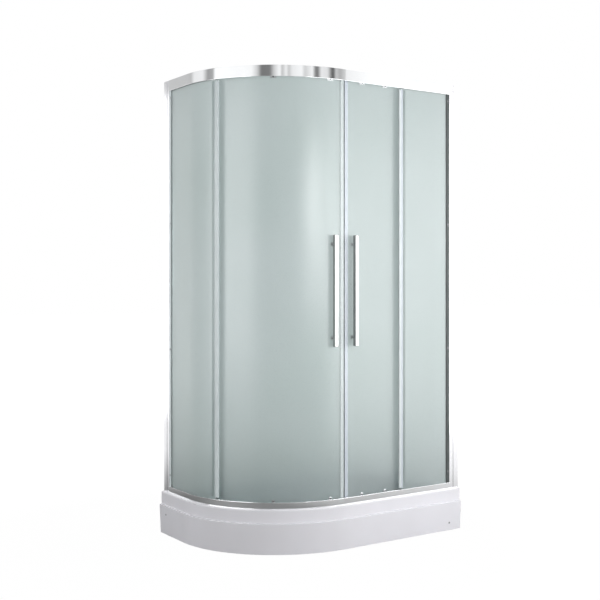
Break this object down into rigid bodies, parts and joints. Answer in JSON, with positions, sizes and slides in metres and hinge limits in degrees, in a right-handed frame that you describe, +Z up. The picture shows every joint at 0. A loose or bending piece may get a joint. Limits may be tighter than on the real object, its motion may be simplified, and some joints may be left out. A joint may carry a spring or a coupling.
{
  "type": "quadrant shower enclosure",
  "caption": "Offset quadrant shower enclosure on a raised tray, with a curved and a flat sliding door of frosted glass in bright rails.",
  "frame": {"origin": "on the floor, under the middle of the plan rectangle", "axes": "+Z up; +X along the straight front towards the right wall; +Y towards the back wall; the rounded corner faces -X and -Y"},
  "size_m": [1.2, 0.8, 2.15],
  "materials": {
    "acrylic": "gloss",
    "chrome": "polished",
    "profile": "polished, bright anodised",
    "frosted_glass": "frosted",
    "rubber": "matt",
    "clear_seal": "translucent",
    "dark_plastic": "matt",
    "white_plastic": "satin",
    "steel": "zinc plated",
    "frame_paint": "galvanised",
    "plywood": "raw board"
  },
  "bodies": {
    "enclosure": {"tray_shell": "acrylic", "front_apron": "acrylic", "apron_screws": "chrome", "reinforcing_board": "plywood", "support_frame": "frame_paint", "foot_stems": "steel", "foot_pads": "dark_plastic", "foot_locknuts": "steel", "waste_trap": "white_plastic", "waste_seal": "rubber", "waste_flange": "chrome", "outlet_pipe": "white_plastic", "wall_profile_right": "profile", "wall_profile_back": "profile", "jamb_right": "profile", "jamb_back": "profile", "jamb_gasket_right": "rubber", "jamb_gasket_back": "rubber", "clamp_screws": "steel", "top_rail": "profile", "bottom_rail": "profile", "rail_brackets": "dark_plastic", "rail_screws": "steel", "door_stops": "rubber", "fixed_glass_right": "frosted_glass", "fixed_glass_left": "frosted_glass", "fixed_seal_right": "clear_seal", "fixed_seal_left": "clear_seal", "top_glazing": "rubber", "bottom_glazing": "rubber"},
    "drain_cover": {"drain_cover": "chrome"},
    "right_door": {"right_door_glass": "frosted_glass", "right_magnet_seal": "clear_seal", "right_rear_seal": "clear_seal", "right_handle": "chrome", "right_handle_posts": "chrome", "right_handle_nuts": "chrome", "right_hangers": "dark_plastic", "right_guides": "chrome", "right_roller_bolts": "chrome", "right_axles": "steel"},
    "left_door": {"left_door_glass": "frosted_glass", "left_magnet_seal": "clear_seal", "left_rear_seal": "clear_seal", "left_handle": "chrome", "left_handle_posts": "chrome", "left_handle_nuts": "chrome", "left_hangers": "dark_plastic", "left_guides": "chrome", "left_roller_bolts": "chrome", "left_axles": "steel"},
    "right_top_wheel_front": {"right_top_wheel_front": "white_plastic"},
    "right_top_wheel_rear": {"right_top_wheel_rear": "white_plastic"},
    "right_bottom_wheel_front": {"right_bottom_wheel_front": "white_plastic"},
    "right_bottom_wheel_rear": {"right_bottom_wheel_rear": "white_plastic"},
    "left_top_wheel_front": {"left_top_wheel_front": "white_plastic"},
    "left_top_wheel_rear": {"left_top_wheel_rear": "white_plastic"},
    "left_bottom_wheel_front": {"left_bottom_wheel_front": "white_plastic"},
    "left_bottom_wheel_rear": {"left_bottom_wheel_rear": "white_plastic"}
  },
  "joints": [
    {"name": "right_door_slide", "type": "slide", "parent": "enclosure", "child": "right_door", "axis": [1, 0, 0], "range_m": [0, 0.21]},
    {"name": "left_door_turn", "type": "hinge", "parent": "enclosure", "child": "left_door", "pos_m": [-0.05, 0.15, 1.1], "axis": [0, 0, -1], "range_deg": [0, 40]},
    {"name": "drain_cover_lift", "type": "slide", "parent": "enclosure", "child": "drain_cover", "axis": [0, 0, 1], "range_m": [0, 0.05]},
    {"name": "right_top_wheel_front_spin", "type": "hinge", "parent": "right_door", "child": "right_top_wheel_front", "pos_m": [0.054, -0.352, 2.1198], "axis": [0, 1, 0], "range_deg": [0, 1205]},
    {"name": "right_top_wheel_rear_spin", "type": "hinge", "parent": "right_door", "child": "right_top_wheel_rear", "pos_m": [0.185, -0.352, 2.1198], "axis": [0, 1, 0], "range_deg": [0, 1205]},
    {"name": "right_bottom_wheel_front_spin", "type": "hinge", "parent": "right_door", "child": "right_bottom_wheel_front", "pos_m": [0.054, -0.352, 0.2128], "axis": [0, 1, 0], "range_deg": [0, 2007]},
    {"name": "right_bottom_wheel_rear_spin", "type": "hinge", "parent": "right_door", "child": "right_bottom_wheel_rear", "pos_m": [0.185, -0.352, 0.2128], "axis": [0, 1, 0], "range_deg": [0, 2007]},
    {"name": "left_top_wheel_front_spin", "type": "hinge", "parent": "left_door", "child": "left_top_wheel_front", "pos_m": [-0.11552, -0.3477, 2.1198], "axis": [-0.1305, -0.9914, 0], "range_deg": [0, 2009]},
    {"name": "left_top_wheel_rear_spin", "type": "hinge", "parent": "left_door", "child": "left_top_wheel_rear", "pos_m": [-0.35421, -0.24933, 2.1198], "axis": [-0.606, -0.7955, 0], "range_deg": [0, 2009]},
    {"name": "left_bottom_wheel_front_spin", "type": "hinge", "parent": "left_door", "child": "left_bottom_wheel_front", "pos_m": [-0.11552, -0.3477, 0.2128], "axis": [-0.1305, -0.9914, 0], "range_deg": [0, 3348]},
    {"name": "left_bottom_wheel_rear_spin", "type": "hinge", "parent": "left_door", "child": "left_bottom_wheel_rear", "pos_m": [-0.35421, -0.24933, 0.2128], "axis": [-0.606, -0.7955, 0], "range_deg": [0, 3348]}
  ],
  "couplings": [
    {"joint": "right_top_wheel_front_spin", "follows": "right_door_slide", "rad_per_m": 100},
    {"joint": "right_top_wheel_rear_spin", "follows": "right_door_slide", "rad_per_m": 100},
    {"joint": "right_bottom_wheel_front_spin", "follows": "right_door_slide", "rad_per_m": 166.67},
    {"joint": "right_bottom_wheel_rear_spin", "follows": "right_door_slide", "rad_per_m": 166.67},
    {"joint": "left_top_wheel_front_spin", "follows": "left_door_turn", "ratio": 50.2},
    {"joint": "left_top_wheel_rear_spin", "follows": "left_door_turn", "ratio": 50.2},
    {"joint": "left_bottom_wheel_front_spin", "follows": "left_door_turn", "ratio": 83.667},
    {"joint": "left_bottom_wheel_rear_spin", "follows": "left_door_turn", "ratio": 83.667}
  ]
}
